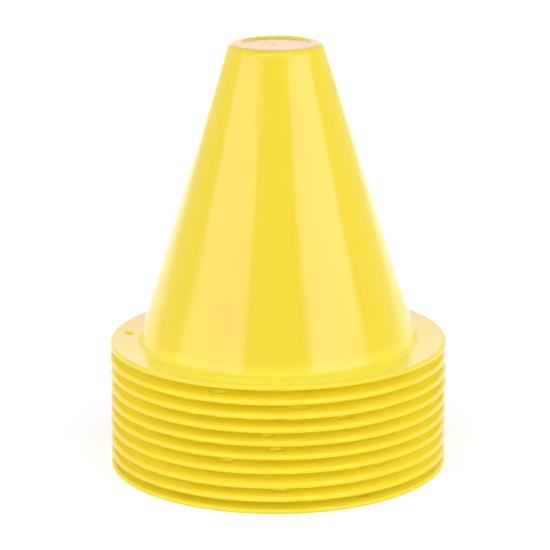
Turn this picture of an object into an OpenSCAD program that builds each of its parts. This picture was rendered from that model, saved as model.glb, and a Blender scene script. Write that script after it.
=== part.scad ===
// Sports marker cones, nested in a stack as they are stored and carried.
// Each cone is one thin moulding: a round foot flange with a small hole, a tapered wall,
// and a closed top with a rounded shoulder and a shallow round recess.
// The origin is on the ground, at the centre of the bottom cone's foot, and Z points up.

/* [Flange] */
// Outer diameter of the round foot flange
flange_d = 79; // [66:0.5:92]
// Width of the flange, from the wall to the rim
flange_w = 7.1; // [5.8:0.1:10]
// Thickness of the flange
flange_t = 1; // [0.9:0.1:1.5]
// Radius along the upper edge of the rim
rim_upper_r = 0.7; // [0.3:0.05:0.75]
// Radius along the lower edge of the rim, which is nearly sharp
rim_lower_r = 0.1; // [0.05:0.05:0.1]
// Diameter of the small hole through the flange
hole_d = 2.7; // [1.5:0.1:3.2]
// Distance from the wall to the centre of the hole
hole_offset = 2.6; // [2.4:0.1:3.6]

/* [Wall] */
// Height from the ground to the top of the shoulder
cone_h = 70.6; // [60:0.2:85]
// Outer diameter of the wall at the top, before the shoulder is rounded
top_d = 21.6; // [20:0.2:28]
// Thickness of the wall, square to its surface
wall_t = 0.8; // [0.6:0.05:1.1]
// Radius in the corner between the wall and the flange
root_r = 1; // [0.5:0.1:1.5]

/* [Top] */
// Radius of the shoulder at the top of the wall
shoulder_r = 1.5; // [0.6:0.1:1.8]
// Width of the raised ring round the recess
ring_w = 2.9; // [2.4:0.1:4]
// Radius on the inner edge of the raised ring
ring_edge_r = 0.4; // [0.2:0.05:0.6]
// Depth of the recess below the raised ring
recess_depth = 0.45; // [0.3:0.05:1.2]
// Thickness of the closed top
ceiling_t = 1; // [0.8:0.1:1.4]
// Diameter of the moulding gate's mark in the middle of the recess
gate_d = 2; // [1:0.1:4]
// Height of the gate's mark
gate_h = 0.15; // [0.1:0.05:0.4]

/* [Stack] */
// Number of cones in the stack
cone_count = 10; // [2:1:20]
// Clearance between two nested walls, square to their surface
nest_gap = 0.15; // [0.1:0.05:0.4]

/* [Hidden] */
$fn = 128;
// Turn of each cone about the stack's axis, from the bottom cone up, in degrees
cone_turns = [303, 271, 311, 250, 269, 266, 295, 278, 248, 174];
// Extra length of every cut past the surface that it opens
overrun = 1;

flange_r = flange_d / 2;
foot_r = flange_r - flange_w;
hole_ring_r = foot_r + hole_offset;
top_r = top_d / 2;
recess_r = top_r - ring_w;
recess_z = cone_h - recess_depth;

// Angle of the wall from the stack's axis
wall_angle = atan((foot_r - top_r) / (cone_h - flange_t));
// Step from one nested cone to the next, at which their walls lie the clearance apart
stack_pitch = (wall_t + nest_gap) / sin(wall_angle);

function cone_name(i) = str("cone_", i < 10 ? "0" : "", i);

// Radius of the wall's outer and inner surface at a height above the foot
function outer_r(z) = top_r + (cone_h - z) * tan(wall_angle);
function inner_r(z) = outer_r(z) - wall_t / cos(wall_angle);

// Centre of the circle of radius r that touches the wall from inside and the level z from below
function inside_touch(r, z) = [outer_r(z - r) - r / cos(wall_angle), z - r];

// Centre of the circle of radius r that touches the wall from outside and the level z from above
function outside_touch(r, z) = [outer_r(z + r) + r / cos(wall_angle), z + r];

// Step from such a circle's centre to the point where it touches the wall
function wall_step(r) = r * [cos(wall_angle), sin(wall_angle)];

// The wall and everything inside it, up to the rounded shoulder
module wall_section() {
    shoulder = inside_touch(shoulder_r, cone_h);
    polygon([
        [0, 0],
        [outer_r(0), 0],
        shoulder + wall_step(shoulder_r),
        [shoulder[0], cone_h],
        [0, cone_h]
    ]);
    translate(shoulder) circle(r = shoulder_r);
}

// The corner outside a circle of radius r, which rounds an edge where it is cut away
module corner_section(r) {
    difference() {
        square(r + overrun);
        circle(r = r);
    }
}

// The flange, with a round upper edge along its rim and a nearly sharp lower one
module flange_section() {
    difference() {
        square([flange_r, flange_t]);
        translate([flange_r - rim_upper_r, flange_t - rim_upper_r]) corner_section(rim_upper_r);
        translate([flange_r - rim_lower_r, rim_lower_r]) mirror([0, 1]) corner_section(rim_lower_r);
    }
}

// The fillet in the corner between the wall and the flange
module root_section() {
    centre = outside_touch(root_r, flange_t);
    difference() {
        polygon([
            [inner_r(flange_t), 0],
            [centre[0], 0],
            [centre[0], flange_t],
            centre - wall_step(root_r),
            [inner_r(flange_t), flange_t]
        ]);
        translate(centre) circle(r = root_r);
    }
}

// The hollow that another cone nests in, with a groove under the raised ring
module hollow_section() {
    groove_z = cone_h - ceiling_t;
    ceiling_z = recess_z - ceiling_t;
    polygon([
        [0, -overrun],
        [inner_r(-overrun), -overrun],
        [inner_r(groove_z), groove_z],
        [recess_r + ceiling_t, groove_z],
        [recess_r + ceiling_t, ceiling_z],
        [0, ceiling_z]
    ]);
}

// The recess in the top, cut back to where the ring's inner edge is rounded
module recess_section() {
    translate([0, recess_z]) square([recess_r, recess_depth + overrun]);
    translate([0, cone_h - ring_edge_r]) square([recess_r + ring_edge_r, ring_edge_r + overrun]);
}

// Half of the section through one cone
module cone_section() {
    difference() {
        union() {
            wall_section();
            flange_section();
            root_section();
        }
        hollow_section();
        recess_section();
    }
    translate([recess_r + ring_edge_r, cone_h - ring_edge_r]) circle(r = ring_edge_r);
    translate([0, recess_z - gate_h]) square([gate_d / 2, 2 * gate_h]);
}

// One cone, standing on the ground with the hole towards +X
module marker_cone() {
    difference() {
        rotate_extrude() cone_section();
        translate([hole_ring_r, 0, -overrun]) cylinder(d = hole_d, h = flange_t + 2 * overrun);
    }
}

// Cone number i of the stack, counted from the ground up
module stacked_cone(i) {
    turn = cone_turns[(i - 1) % len(cone_turns)];
    color("#f3d92f")
        translate([0, 0, (i - 1) * stack_pitch])
            rotate([0, 0, turn])
                marker_cone();
}

for (i = [1 : cone_count])
    stacked_cone(i);
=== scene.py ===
"""Ten small sports marker cones, nested in one stack on a white studio sweep."""

import math

import numpy as np

import bpy
from mathutils import Matrix, Vector


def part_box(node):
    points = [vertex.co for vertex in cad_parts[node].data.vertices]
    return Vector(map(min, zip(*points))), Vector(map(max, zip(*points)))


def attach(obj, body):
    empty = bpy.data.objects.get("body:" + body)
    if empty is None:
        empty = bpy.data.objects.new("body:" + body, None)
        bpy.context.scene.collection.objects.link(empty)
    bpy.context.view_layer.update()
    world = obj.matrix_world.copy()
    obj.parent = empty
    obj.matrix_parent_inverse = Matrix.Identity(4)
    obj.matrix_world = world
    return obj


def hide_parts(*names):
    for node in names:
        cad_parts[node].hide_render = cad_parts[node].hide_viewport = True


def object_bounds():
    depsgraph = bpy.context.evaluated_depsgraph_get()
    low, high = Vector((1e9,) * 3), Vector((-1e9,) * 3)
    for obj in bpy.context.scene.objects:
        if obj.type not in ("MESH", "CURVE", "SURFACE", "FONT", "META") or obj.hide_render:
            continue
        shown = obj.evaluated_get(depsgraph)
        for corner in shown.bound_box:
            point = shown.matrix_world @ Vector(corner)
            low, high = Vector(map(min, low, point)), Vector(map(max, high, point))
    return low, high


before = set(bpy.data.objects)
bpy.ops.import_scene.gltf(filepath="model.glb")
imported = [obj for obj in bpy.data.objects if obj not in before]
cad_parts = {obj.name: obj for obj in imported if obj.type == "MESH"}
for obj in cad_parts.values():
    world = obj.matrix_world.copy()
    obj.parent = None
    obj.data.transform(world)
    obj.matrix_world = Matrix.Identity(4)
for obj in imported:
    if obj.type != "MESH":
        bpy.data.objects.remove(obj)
cad_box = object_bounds()

MM = 0.001

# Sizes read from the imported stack, in millimetres. The bottom cone stands on the ground
cone_names = sorted(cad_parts)
foot_z = [0.0] + [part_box(name)[0][2] / MM for name in cone_names[1:]]
cone_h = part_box(cone_names[0])[1][2] / MM
flange_r = (cad_box[1][0] - cad_box[0][0]) / MM / 2

# Sizes of one moulding, in millimetres and degrees
flange_t = 1.0
foot_r = 32.4
top_r = 10.8
wall_t = 0.8
root_r = 1.0
shoulder_r = 1.9
ring_w = 2.9
ring_edge_r = 0.4
recess_depth = 0.45
recess_slope = 40
recess_corner_r = 0.8
ceiling_t = 1.0
inner_lip_r = 0.25
rim_upper_r = 0.7
rim_lower_r = 0.1
hole_offset = 2.6
hole_r = 1.35
hole_lip = 0.02
gate_r = 1.0
gate_top_r = 0.8
gate_h = 0.04

# The trimmed rim runs inside the full flange radius, which it reaches only at its widest
trim = 0.2
rim_r = flange_r - trim
# Width of the flange's edge that the trimming shifts, and of the burr along its lower edge
trimmed_w = 3
burr_w = 1
# How far the burr hangs below the flange, and the height up the rim at which it ends
burr_hang = 0.06
burr_top = 0.6
# Height of the slow waves and of the fine chatter that the trimming left along the rim
wander_h = 0.02
chatter_h = 0.012
# Height of the flanges' warp, and how far the bottom flange's edge stands off the ground
warp_h = 0.05
ground_gap = 0.1

# Turn of each cone's hole about the axis, in degrees, from the bottom cone up
cone_turns = [303, 271, 311, 250, 269, 266, 295, 278, 248, 174]
# Marks in the recess, the gate's nub and an ejector pin's dent: distance from the axis, angle in
# degrees past the hole, and radius and height, with lengths in millimetres
recess_marks = [(0.35, 0, 0.35, 0.12), (2.95, -39, 0.33, -0.12)]
# How far each flange's edge hangs below its moulded level, in millimetres
rim_sag = [0.0, 0.22, 0.28, 0.1, 0.06, 0.13, 0.18, 0.18, 0.1, -0.06]
# How far each rim's trimming sits off centre to the right, in millimetres
rim_shift = [-0.12, -0.13, -0.11, -0.09, -0.03, -0.02, 0.08, 0.14, -0.06, 0.12]
# Flash left along the rims: cone from the bottom, angle, and width, drop and reach in millimetres.
# The one with a drop below zero is a dent
rim_flash = [
    (8, 238.9, 0.5, 0.18, 0.08),
    (7, 240.8, 0.6, 0.22, 0.08),
    (7, 271.2, 1.6, -0.18, 0.0),
    (7, 274.6, 0.6, 0.22, 0.1),
    (7, 306.5, 0.5, 0.18, 0.08),
    (6, 245.0, 0.6, 0.18, 0.08),
    (5, 222.0, 0.5, 0.18, 0.1),
    (2, 268.0, 0.5, 0.18, 0.06),
    (2, 279.5, 0.8, 0.2, 0.06),
    (2, 295.5, 0.5, 0.18, 0.06),
    (3, 224.0, 0.5, 0.16, 0.1),
    (7, 184.0, 0.5, 0.05, 0.3),
    (6, 357.0, 0.5, 0.05, 0.25),
]

# Widths of the plastic's patterns, in millimetres
streak_w = 5
cloud_w = 15
rub_w = 0.6
peel_w = 0.8

# Steps of the mesh round the cone, and of the window round the hole: to each side, and outwards
SEGMENTS = 480
HOLE_HALF = 5
HOLE_ROWS = 6

# A Mix node's colour sockets: its two inputs, and its output
COLOUR_A = 6
COLOUR_B = 7
MIXED = 2


def srgb(hex_colour):
    """A colour written as sRGB hex, as linear RGBA."""
    parts = [int(hex_colour[i:i + 2], 16) / 255 for i in (1, 3, 5)]
    return [p / 12.92 if p <= 0.04045 else ((p + 0.055) / 1.055) ** 2.4 for p in parts] + [1.0]


wall_angle = math.atan((foot_r - top_r) / (cone_h - flange_t))
hole_ring_r = foot_r + hole_offset
recess_r = top_r - ring_w
recess_z = cone_h - recess_depth


def outer_r(z):
    """Radius of the wall's outer surface at a height above the foot."""
    return top_r + (cone_h - z) * math.tan(wall_angle)


def inner_r(z):
    """Radius of the wall's inner surface at a height above the foot."""
    return outer_r(z) - wall_t / math.cos(wall_angle)


def arc(centre, radius, start, end, steps):
    """Points along an arc of the outline, with angles in degrees."""
    turns = [math.radians(start + (end - start) * i / steps) for i in range(steps + 1)]
    return [(centre[0] + radius * math.cos(a), centre[1] + radius * math.sin(a)) for a in turns]


def run(start, end, steps):
    """Points between two places on the outline, without the two ends."""
    shares = [i / steps for i in range(1, steps)]
    return [tuple(a + (b - a) * s for a, b in zip(start, end)) for s in shares]


def recess_outline():
    """The recess, from the gate's mark in its middle out over its sloping wall to the raised ring."""
    gate_rim, gate_edge = (gate_top_r, recess_z + gate_h), (gate_r, recess_z)
    points = [(0.0, gate_rim[1])] + run((0.0, gate_rim[1]), gate_rim, 8) + [gate_rim, gate_edge]
    marked = (max(away + 2 * size for away, _, size, _ in recess_marks), recess_z)
    points += run(gate_edge, marked, 20) + [marked]
    slope = math.radians(recess_slope)
    rise = recess_depth - (recess_corner_r + ring_edge_r) * (1 - math.cos(slope))
    half = ((recess_corner_r + ring_edge_r) * math.sin(slope) + rise / math.tan(slope)) / 2
    points += run(marked, (recess_r - half, recess_z), 4)
    points += arc((recess_r - half, recess_z + recess_corner_r), recess_corner_r, -90, recess_slope - 90, 5)
    return points + arc((recess_r + half, cone_h - ring_edge_r), ring_edge_r, recess_slope + 90, 90, 5)


def cone_outline():
    """The section through one cone, from the middle of its top round to the middle of its ceiling.

    It comes with the places in it where the window round the hole starts, on top and underneath.
    """
    lean = math.degrees(wall_angle)
    points = recess_outline()
    shoulder_z = cone_h - shoulder_r
    shoulder = (outer_r(shoulder_z) - shoulder_r / math.cos(wall_angle), shoulder_z)
    points += arc(shoulder, shoulder_r, 90, lean, 9)
    root_z = flange_t + root_r
    root = (outer_r(root_z) + root_r / math.cos(wall_angle), root_z)
    foot_arc = arc(root, root_r, 180 + lean, 270, 6)
    points += run(points[-1], foot_arc[0], 14) + foot_arc
    # The window is about as wide outwards as it is along the flange
    hole_reach = 0.65 * hole_ring_r * math.radians(HOLE_HALF * 360 / SEGMENTS)
    top_rows = [(hole_ring_r - hole_reach, flange_t), (hole_ring_r + hole_reach, flange_t)]
    hole_top = len(points)
    points += [top_rows[0]] + run(top_rows[0], top_rows[1], HOLE_ROWS) + [top_rows[1]]
    points += arc((rim_r - rim_upper_r, flange_t - rim_upper_r), rim_upper_r, 90, 0, 7)
    points += arc((rim_r - rim_lower_r, rim_lower_r), rim_lower_r, 0, -90, 5)
    # Two rings under the rim let the burr fade out inwards
    points += [(rim_r - 0.5, 0.0), (rim_r - 1.2, 0.0)]
    hole_under = len(points)
    points += [(r, 0.0) for r, _ in reversed(points[hole_top:hole_top + HOLE_ROWS + 1])]
    lip = (inner_r(inner_lip_r) + inner_lip_r / math.cos(wall_angle), inner_lip_r)
    points += arc(lip, inner_lip_r, 270, 180 + lean, 3)
    groove_z = cone_h - ceiling_t
    points += run(points[-1], (inner_r(groove_z), groove_z), 8)
    points += [(inner_r(groove_z), groove_z), (recess_r + ceiling_t, groove_z)]
    points += [(recess_r + ceiling_t, recess_z - ceiling_t), (0.0, recess_z - ceiling_t)]
    return points, hole_top, hole_under


def hole_patch(verts, faces, border, levels):
    """Closes a window in the flange round the hole: a flat collar, then the lip. Returns the lip's ring."""
    rings = [[], []]
    for index in border:
        x, y, _ = verts[index]
        a = math.atan2(y, x - hole_ring_r)
        for ring, radius, z in zip(rings, (hole_r + hole_lip, hole_r), levels):
            ring.append(len(verts))
            verts.append((hole_ring_r + radius * math.cos(a), radius * math.sin(a), z))
    count = len(border)
    for outer, inner in ((border, rings[0]), (rings[0], rings[1])):
        for i in range(count):
            k = (i + 1) % count
            faces.append([inner[i], inner[k], outer[k], outer[i]])
    return rings[1]


def flange_hole(verts, faces, rows, hole_top, hole_under):
    """The hole through the flange: a patch on top and one underneath, and the bore between them."""
    across = [s % SEGMENTS for s in range(-HOLE_HALF, HOLE_HALF + 1)]
    by_angle = {}
    for first, levels in ((hole_top, (flange_t, flange_t - hole_lip)), (hole_under, (0.0, hole_lip))):
        border = [rows[first][s] for s in across]
        border += [rows[first + j][across[-1]] for j in range(1, HOLE_ROWS + 1)]
        border += [rows[first + HOLE_ROWS][s] for s in reversed(across[:-1])]
        border += [rows[first + j][across[0]] for j in range(HOLE_ROWS - 1, 0, -1)]
        for index in hole_patch(verts, faces, border, levels):
            x, y, _ = verts[index]
            by_angle.setdefault(round(math.degrees(math.atan2(y, x - hole_ring_r)), 2), []).append(index)
    keys = sorted(by_angle)
    for i, key in enumerate(keys):
        a, b = by_angle[key], by_angle[keys[(i + 1) % len(keys)]]
        faces.append([a[0], b[0], b[1], a[1]])


def moulding():
    """The vertices and faces of one perfect cone, closed, with its hole towards +X."""
    outline, hole_top, hole_under = cone_outline()
    verts, rows = [], []
    for r, z in outline:
        if r == 0:
            rows.append([len(verts)] * SEGMENTS)
            verts.append((0.0, 0.0, z))
            continue
        rows.append(range(len(verts), len(verts) + SEGMENTS))
        turns = [2 * math.pi * s / SEGMENTS for s in range(SEGMENTS)]
        verts += [(r * math.cos(a), r * math.sin(a), z) for a in turns]
    window = {s % SEGMENTS for s in range(-HOLE_HALF, HOLE_HALF)}
    open_rows = set(range(hole_top, hole_top + HOLE_ROWS)) | set(range(hole_under, hole_under + HOLE_ROWS))
    faces = []
    for j in range(len(rows) - 1):
        for s in range(SEGMENTS):
            if j in open_rows and s in window:
                continue
            k = (s + 1) % SEGMENTS
            face = [rows[j][s], rows[j + 1][s], rows[j + 1][k], rows[j][k]]
            # A face at the axis has two corners in one place, and keeps one of them
            faces.append([v for i, v in enumerate(face) if v != face[i - 1]])
    flange_hole(verts, faces, rows, hole_top, hole_under)
    verts = np.array(verts)
    on_floor = np.abs(verts[:, 2] - recess_z) < 2 * gate_h
    for away, turn, size, height in recess_marks:
        x, y = away * math.cos(math.radians(turn)), away * math.sin(math.radians(turn))
        off = np.hypot(verts[:, 0] - x, verts[:, 1] - y)
        verts[:, 2] += on_floor * height * np.exp(-(off / size) ** 4)
    return verts, faces


def ripple(angle, crests, seed):
    """A wavy line round the cone: a sum of waves, each with a whole number of crests."""
    waves = [np.cos(n * angle + 2.4 * n * (seed + 1)) for n in crests]
    return sum(waves) / math.sqrt(len(crests))


def settle(verts, cone):
    """Moves a perfect moulding's flange to where the trimmed, slightly warped one has it."""
    x, y, z = verts.T
    r = np.maximum(np.hypot(x, y), MM)
    angle = np.arctan2(y, x)
    # Shares that rise from 0 to 1: across the flange, over its trimmed edge, and over its burr
    on_flange = (r > foot_r - 1) & (z < 3 * flange_t)
    reach = on_flange * np.clip((r - foot_r) / (rim_r - foot_r), 0, 1)
    near_rim = on_flange * np.clip((r - rim_r + trimmed_w) / trimmed_w, 0, 1)
    low = np.clip((burr_top - z) / (flange_t / 2), 0, 1)
    on_burr = near_rim * np.clip((r - rim_r + burr_w) / burr_w, 0, 1) * low
    warp = warp_h * ripple(angle, (2, 3), cone)
    drop = reach ** 2 * (warp - rim_sag[cone] if cone else warp + ground_gap)
    grow = near_rim * (rim_shift[cone] * np.cos(angle) + wander_h * ripple(angle, (5, 8, 13, 21), cone))
    grow += on_burr * chatter_h * ripple(angle, (55, 89, 144, 233), cone)
    burr = wander_h * ripple(angle, (34, 47, 89), cone + 20)
    burr = burr + chatter_h * ripple(angle, (144, 211, 233), cone + 40)
    for flash_cone, turn, width, fall, out in rim_flash:
        if flash_cone == cone:
            off = (np.degrees(angle) - turn + 180) % 360 - 180
            lump = np.exp(-(np.radians(off) * rim_r / width) ** 2)
            burr = burr - fall * lump
            grow = grow + on_burr * out * lump
    # The bottom cone's burr is worn flat by the ground
    if cone:
        drop = drop + on_burr * (burr - burr_hang)
    grow = np.minimum(grow, flange_r - r)
    return np.column_stack([x * (1 + grow / r), y * (1 + grow / r), z + drop])


def moulded_cone(cone, verts, faces):
    """One cone of the stack as a closed mesh, turned and warped as it came out of the mould."""
    a = math.radians(cone_turns[cone])
    turned = verts @ np.array([[math.cos(a), math.sin(a), 0], [-math.sin(a), math.cos(a), 0], [0, 0, 1]])
    placed = (settle(turned, cone) + [0, 0, foot_z[cone]]) * MM
    mesh = bpy.data.meshes.new("moulded_" + cone_names[cone])
    mesh.from_pydata(placed.tolist(), [], faces)
    mesh.shade_smooth()
    piece = bpy.data.objects.new("moulded_" + cone_names[cone], mesh)
    bpy.context.scene.collection.objects.link(piece)
    piece.modifiers.new("even_shading", "WEIGHTED_NORMAL")
    return piece


def add_node(tree, kind, settings=None, links=None):
    """Adds a node, sets its properties and inputs, and links its inputs to other nodes' outputs."""
    node = tree.nodes.new(kind)
    for name, value in (settings or {}).items():
        if isinstance(name, str) and hasattr(node, name):
            setattr(node, name, value)
        else:
            node.inputs[name].default_value = value
    for name, source in (links or {}).items():
        tree.links.new(source, node.inputs[name])
    return node


def glossy_polyethylene():
    """Low-density polyethylene from a polished mould: a soft, even yellow under a smooth, waxy gloss.

    Light goes about a millimetre into it, which fills the shade between the flanges with warm yellow.
    """
    material = bpy.data.materials.new("glossy_polyethylene")
    material.use_nodes = True
    tree = material.node_tree
    shader = tree.nodes["Principled BSDF"]
    shader.inputs["IOR"].default_value = 1.51
    shader.inputs["Subsurface Weight"].default_value = 1.0
    # Blue light is soaked up first, so it doesn't come as far through the yellow
    shader.inputs["Subsurface Radius"].default_value = (1.0, 1.0, 0.3)
    shader.inputs["Subsurface Scale"].default_value = 1.0 * MM

    place = add_node(tree, "ShaderNodeTexCoord").outputs["Object"]
    flat = add_node(tree, "ShaderNodeVectorMath", {"operation": "MULTIPLY", 1: (1, 1, 0)}, {0: place})
    radius = add_node(tree, "ShaderNodeVectorMath", {"operation": "LENGTH"}, {0: flat.outputs[0]})

    # The melt flowed from the gate down the wall, in streaks drawn out to ten times their width
    round_axis = add_node(tree, "ShaderNodeVectorMath", {"operation": "NORMALIZE"}, {0: flat.outputs[0]})
    down = add_node(tree, "ShaderNodeVectorMath", {"operation": "MULTIPLY", 1: (0, 0, 0.1)}, {0: place})
    unrolled = add_node(
        tree, "ShaderNodeVectorMath", {"operation": "MULTIPLY_ADD", 1: (foot_r * MM,) * 3},
        {0: round_axis.outputs[0], 2: down.outputs[0]})
    streaks = add_node(
        tree, "ShaderNodeTexNoise", {"Scale": 1 / (streak_w * MM), "Detail": 3.0},
        {"Vector": unrolled.outputs[0]})
    # Thicker and thinner places in the wall
    clouds = add_node(
        tree, "ShaderNodeTexNoise", {"Scale": 1 / (cloud_w * MM), "Detail": 2.0}, {"Vector": place})
    # Rub lines from sliding the cones in and out of each other
    rubs = add_node(
        tree, "ShaderNodeTexNoise", {"Scale": 1 / (rub_w * MM), "Detail": 1.0},
        {"Vector": unrolled.outputs[0]})
    # The polished mould's faint peel
    peel = add_node(
        tree, "ShaderNodeTexNoise", {"Scale": 1 / (peel_w * MM), "Detail": 2.0}, {"Vector": place})

    # The wall, backed by the cones inside it, shows the plastic's own deeper yellow; the flange's paler
    # yellow below is painted light
    pigment = add_node(
        tree, "ShaderNodeMix",
        {"data_type": "RGBA", COLOUR_A: srgb("#ECE31E"), COLOUR_B: srgb("#E5DB16")},
        {0: streaks.outputs[0]})
    mottle = add_node(
        tree, "ShaderNodeMapRange", {"From Min": 0.35, "From Max": 0.65, "To Max": 0.4},
        {"Value": clouds.outputs[0]})
    wall_yellow = add_node(
        tree, "ShaderNodeMix", {"data_type": "RGBA", COLOUR_B: srgb("#EADF1F")},
        {0: mottle.outputs[0], COLOUR_A: pigment.outputs[MIXED]})
    # The flange is painted paler than the wall, a painted light that brightens the shade between the
    # flanges, and palest towards its rim, a painted gradient of the light reaching in from the rim
    painted_light_span = {"From Min": (foot_r + 1.5) * MM, "From Max": (rim_r - 1.5) * MM}
    lit_towards_rim = add_node(tree, "ShaderNodeMapRange", painted_light_span, {"Value": radius.outputs["Value"]})
    flange_painted_light = add_node(
        tree, "ShaderNodeMix",
        {"data_type": "RGBA", COLOUR_A: srgb("#FFFA4C"), COLOUR_B: srgb("#FFFA5E")},
        {0: lit_towards_rim.outputs[0]})
    # The painted light starts at the root of the wall, and ends where the solid edge of the rim begins
    root = {"From Min": (foot_r - 1) * MM, "From Max": (foot_r + 1.5) * MM}
    past_root = add_node(tree, "ShaderNodeMapRange", root, {"Value": radius.outputs["Value"]})
    edge = {"From Min": (rim_r - 0.2) * MM, "From Max": (rim_r - 1.4) * MM}
    inside_rim = add_node(tree, "ShaderNodeMapRange", edge, {"Value": radius.outputs["Value"]})
    on_flange = add_node(
        tree, "ShaderNodeMath", {"operation": "MULTIPLY"},
        {0: past_root.outputs[0], 1: inside_rim.outputs[0]})
    # Painted light: the flange's paler yellow laid over the wall's own yellow, from the root out to the
    # rim's edge
    yellow = add_node(
        tree, "ShaderNodeMix", {"data_type": "RGBA"},
        {0: on_flange.outputs[0], COLOUR_A: wall_yellow.outputs[MIXED],
         COLOUR_B: flange_painted_light.outputs[MIXED]})
    tree.links.new(yellow.outputs[MIXED], shader.inputs["Base Color"])

    gloss = add_node(
        tree, "ShaderNodeMapRange", {"From Min": 0.3, "From Max": 0.7, "To Min": 0.13, "To Max": 0.17},
        {"Value": clouds.outputs[0]})
    worn = add_node(
        tree, "ShaderNodeMapRange", {"From Min": 0.55, "From Max": 0.75, "To Max": 0.06},
        {"Value": rubs.outputs[0]})
    roughness = add_node(
        tree, "ShaderNodeMath", {"operation": "ADD"}, {0: gloss.outputs[0], 1: worn.outputs[0]})
    tree.links.new(roughness.outputs[0], shader.inputs["Roughness"])

    sink = add_node(tree, "ShaderNodeBump", {"Distance": 0.05 * MM}, {"Height": clouds.outputs[0]})
    flow = add_node(
        tree, "ShaderNodeBump", {"Distance": 0.01 * MM},
        {"Height": streaks.outputs[0], "Normal": sink.outputs[0]})
    grain = add_node(
        tree, "ShaderNodeBump", {"Distance": 0.0015 * MM},
        {"Height": peel.outputs[0], "Normal": flow.outputs[0]})
    tree.links.new(grain.outputs[0], shader.inputs["Normal"])
    return material


def rays_that_see(tree):
    """1 for the camera's rays and for those by which gloss and glass show a thing, and 0 for lighting."""
    path = add_node(tree, "ShaderNodeLightPath")
    gloss = add_node(
        tree, "ShaderNodeMath", {"operation": "MAXIMUM"},
        {0: path.outputs["Is Camera Ray"], 1: path.outputs["Is Glossy Ray"]})
    glass = add_node(
        tree, "ShaderNodeMath", {"operation": "MAXIMUM"},
        {0: gloss.outputs[0], 1: path.outputs["Is Transmission Ray"]})
    return glass.outputs[0]


def white_paper():
    """Matt white background paper, which gives a soft, even ground and keeps the stack's shadow."""
    material = bpy.data.materials.new("white_paper")
    material.use_nodes = True
    tree = material.node_tree
    shader = tree.nodes["Principled BSDF"]
    place = add_node(tree, "ShaderNodeTexCoord").outputs["Object"]
    away = add_node(tree, "ShaderNodeVectorMath", {"operation": "LENGTH"}, {0: place})
    # It is lit up to white away from the stack, and less near the foot, where the shadow lies
    lit = {"From Min": 0.06, "From Max": 0.4, "To Min": 0.45, "To Max": 1.0}
    glow = add_node(tree, "ShaderNodeMapRange", lit, {"Value": away.outputs["Value"]})
    shown = add_node(
        tree, "ShaderNodeMath", {"operation": "MULTIPLY"}, {0: glow.outputs[0], 1: rays_that_see(tree)})
    tree.links.new(shown.outputs[0], shader.inputs["Emission Strength"])
    shader.inputs["Emission Color"].default_value = srgb("#FFFFFF")
    shader.inputs["Base Color"].default_value = srgb("#F2F2F2")
    shader.inputs["Roughness"].default_value = 0.9
    shader.inputs["Specular IOR Level"].default_value = 0.0
    return material


def studio_sweep():
    """The white floor that the stack stands on."""
    half = 6.0
    mesh = bpy.data.meshes.new("studio_sweep")
    corners = [(-half, -half, 0), (half, -half, 0), (half, half, 0), (-half, half, 0)]
    mesh.from_pydata(corners, [], [(0, 1, 2, 3)])
    mesh.materials.append(white_paper())
    floor = bpy.data.objects.new("studio_sweep", mesh)
    bpy.context.scene.collection.objects.link(floor)


def softbox(name, azimuth, elevation, distance, width, height, radiance, tint, mirrored=True):
    """A soft lamp that faces the middle of the stack.

    Azimuth 0 is the camera's side, and positive is to its right. Sizes are in metres. A lamp that
    isn't mirrored lights the stack and leaves no streak in its gloss.
    """
    lamp = bpy.data.lights.new(name, "AREA")
    lamp.color = srgb(tint)[:3]
    lamp.shape = "RECTANGLE"
    lamp.size = width
    lamp.size_y = height
    lamp.energy = radiance * math.pi * width * height
    obj = bpy.data.objects.new(name, lamp)
    a, e = math.radians(azimuth), math.radians(elevation)
    towards = Vector((math.sin(a) * math.cos(e), -math.cos(a) * math.cos(e), math.sin(e)))
    stack_middle = Vector((0, 0, 0.045))
    obj.location = towards * distance + stack_middle
    obj.rotation_euler = towards.to_track_quat("Z", "Y").to_euler()
    obj.visible_camera = False
    obj.visible_glossy = mirrored
    bpy.context.scene.collection.objects.link(obj)


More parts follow.
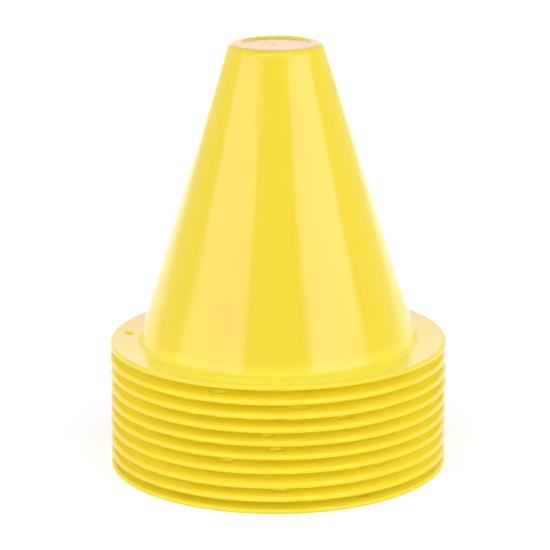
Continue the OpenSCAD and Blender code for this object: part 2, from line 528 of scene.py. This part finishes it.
def studio_light():
    """A white studio: softboxes that the wall mirrors as two bands, and fills on all sides."""
    softbox("left_softbox", -58, 18.5, 1.2, 1.28, 0.3, 2.6, "#ECAAFF")
    softbox("right_softbox_upper", 52.3, 23, 1.2, 1.17, 0.15, 3.35, "#EEBCFF")
    softbox("right_softbox_lower", 54.5, 15, 1.2, 1.1, 0.18, 3.35, "#EEBCFF")
    softbox("back_wash", 180, 20, 2.0, 1.2, 2.0, 0.65, "#F6A0F4")
    # Low lamps reach in between the flanges
    softbox("left_fill", -47, 6, 1.0, 1.9, 0.16, 2.4, "#FEF8FA")
    softbox("right_fill", 46, 6, 1.0, 1.9, 0.16, 2.4, "#FEF8FA", False)
    softbox("overhead_softbox", 0, 52, 1.3, 2.2, 0.9, 1.76, "#FCF8FA")
    softbox("left_side", -100, 14, 1.2, 1.1, 0.5, 2.4, "#FFF4FC", False)
    softbox("right_side", 100, 14, 1.2, 1.1, 0.5, 2.4, "#FFF4FC", False)
    softbox("back_fill", 180, 6, 1.0, 2.2, 0.16, 3.2, "#FFF6FC", False)


def white_studio():
    """The studio around the stack: white to the eye and in the gloss, and a faint light from all sides."""
    world = bpy.data.worlds.new("white_studio")
    bpy.context.scene.world = world
    world.use_nodes = True
    tree = world.node_tree
    tree.nodes.clear()
    seen = rays_that_see(tree)
    strength = add_node(tree, "ShaderNodeMapRange", {"To Min": 0.15, "To Max": 1.0}, {"Value": seen})
    white = add_node(
        tree, "ShaderNodeMix",
        {"data_type": "RGBA", COLOUR_A: srgb("#FFF8FC"), COLOUR_B: srgb("#FFFFFF")}, {0: seen})
    sky = add_node(
        tree, "ShaderNodeBackground", None, {"Color": white.outputs[MIXED], "Strength": strength.outputs[0]})
    add_node(tree, "ShaderNodeOutputWorld", None, {"Surface": sky.outputs[0]})


def photo_camera():
    """The camera at the photograph's viewing angle: low, in front and far off with a long lens."""
    camera_data = bpy.data.cameras.new("photo_camera")
    camera_data.lens = 174.1
    camera_data.sensor_width = 36.0
    camera_data.clip_start = 0.01
    camera = bpy.data.objects.new("photo_camera", camera_data)
    elevation = math.radians(15.0)
    roll = math.radians(0.39)
    distance = 0.6186
    target = Vector((-0.00056, 0.0, 0.0447))
    back = Vector((0, -math.cos(elevation), math.sin(elevation)))
    place = Matrix.Translation(target + back * distance)
    turn = back.to_track_quat("Z", "Y").to_matrix().to_4x4()
    camera.matrix_world = place @ turn @ Matrix.Rotation(-roll, 4, "Z")
    bpy.context.scene.collection.objects.link(camera)
    bpy.context.scene.camera = camera


photo_camera()
studio_sweep()
studio_light()
white_studio()
plastic = glossy_polyethylene()
perfect_verts, perfect_faces = moulding()
for cone, name in enumerate(cone_names):
    piece = moulded_cone(cone, perfect_verts, perfect_faces)
    piece.data.materials.append(plastic)
    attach(piece, name)
    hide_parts(name)

# Light bounces many times between the flanges before it comes out of the gaps
bpy.context.scene.cycles.diffuse_bounces = 16
bpy.context.scene.cycles.max_bounces = 24
bpy.context.scene.view_settings.view_transform = "Standard"
